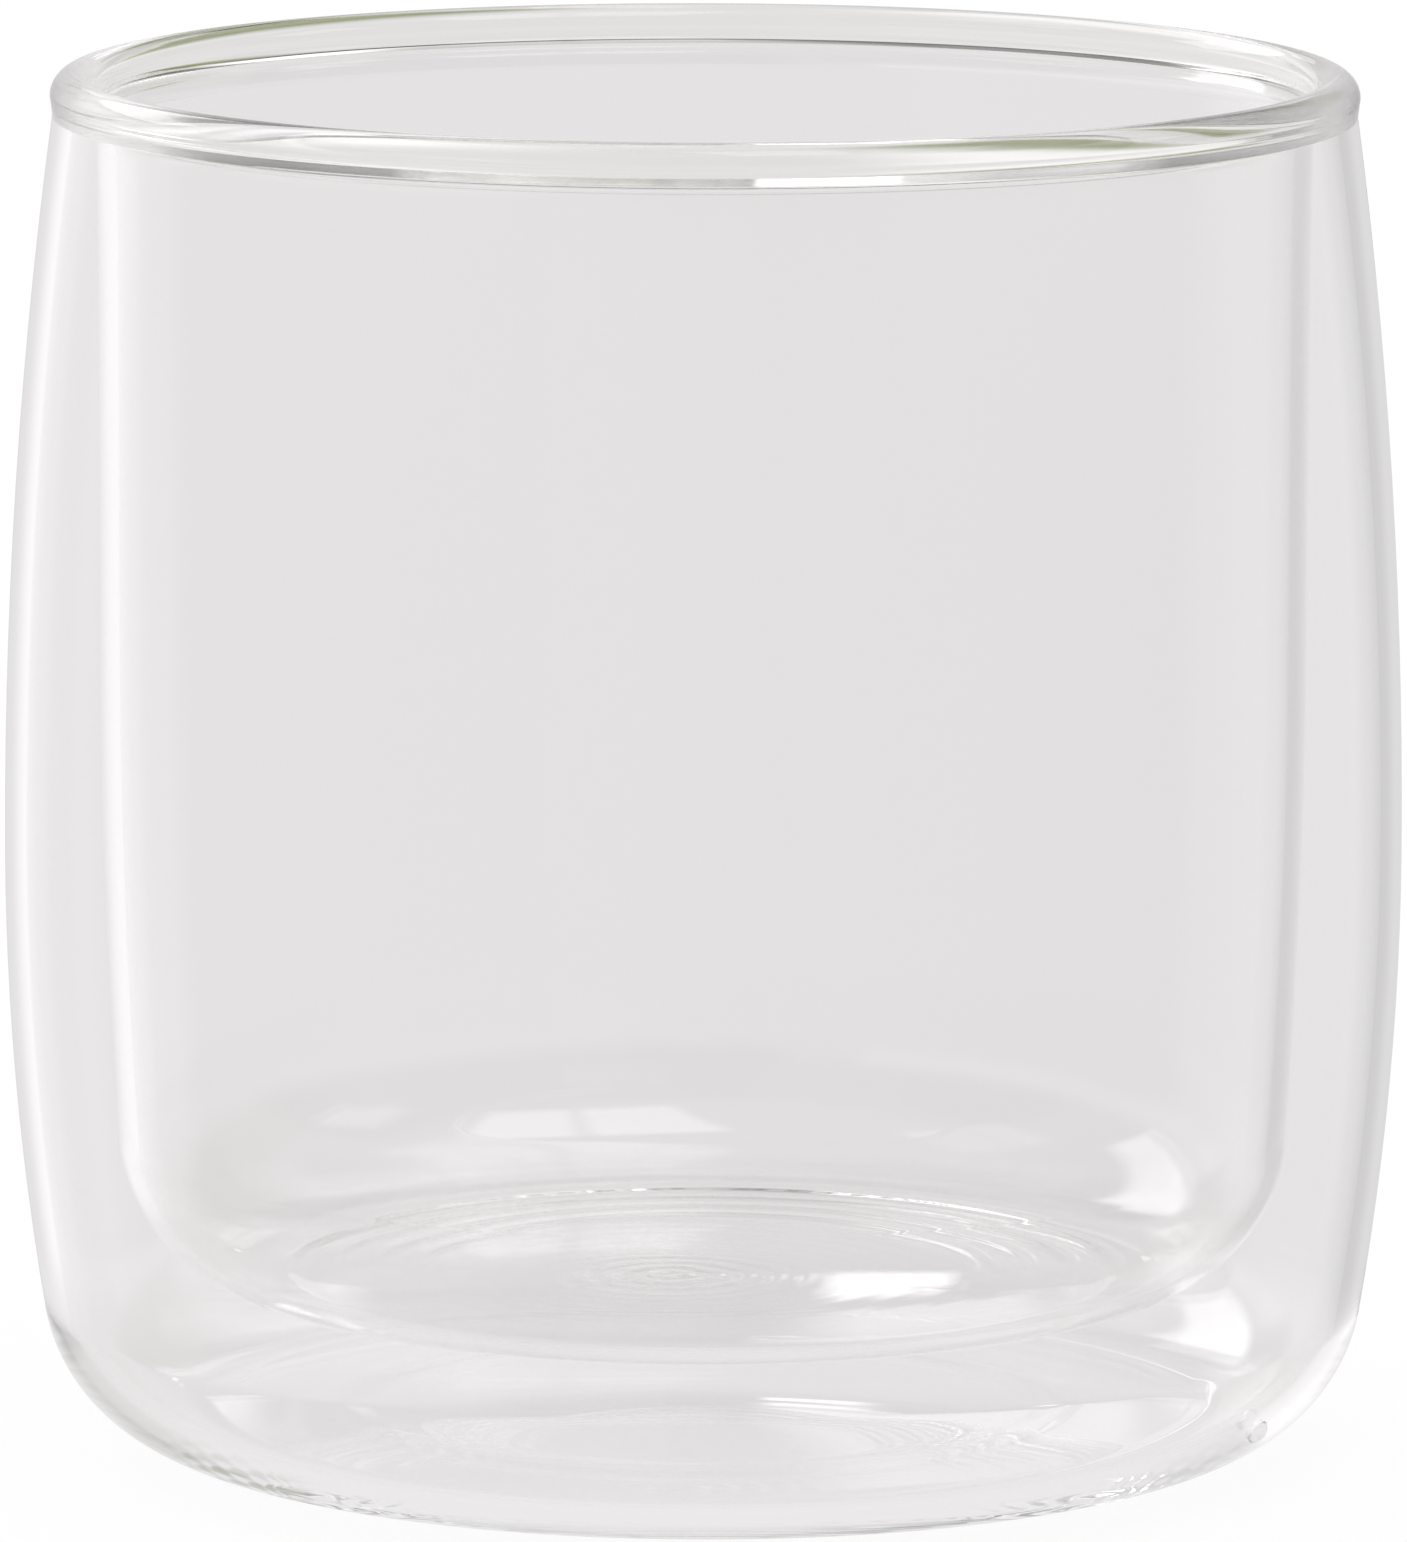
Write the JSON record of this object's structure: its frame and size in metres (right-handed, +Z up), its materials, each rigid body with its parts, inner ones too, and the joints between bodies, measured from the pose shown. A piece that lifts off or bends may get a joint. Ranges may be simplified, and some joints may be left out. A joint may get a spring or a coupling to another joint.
{
  "type": "double-walled tumbler",
  "caption": "Clear double-walled glass tumbler: a straight inner cup fused at a rounded rim inside a barrel-shaped outer shell, with an insulating air gap between them.",
  "frame": {"origin": "centre of the base, on the surface that the tumbler stands on", "axes": "+Z up along the axis of the cup, +X to the right and +Y away from the viewer as in the picture"},
  "size_m": [0.086, 0.086, 0.085],
  "materials": {
    "cup_glass": "clear, fire-polished",
    "shell_glass": "clear, fire-polished",
    "rim_glass": "clear with a faint green cast, fire-polished",
    "seal_glass": "clear, melted"
  },
  "bodies": {
    "root": {"inner_cup": "cup_glass", "outer_shell": "shell_glass", "rim_ring": "rim_glass", "vent_seal": "seal_glass"}
  },
  "joints": []
}
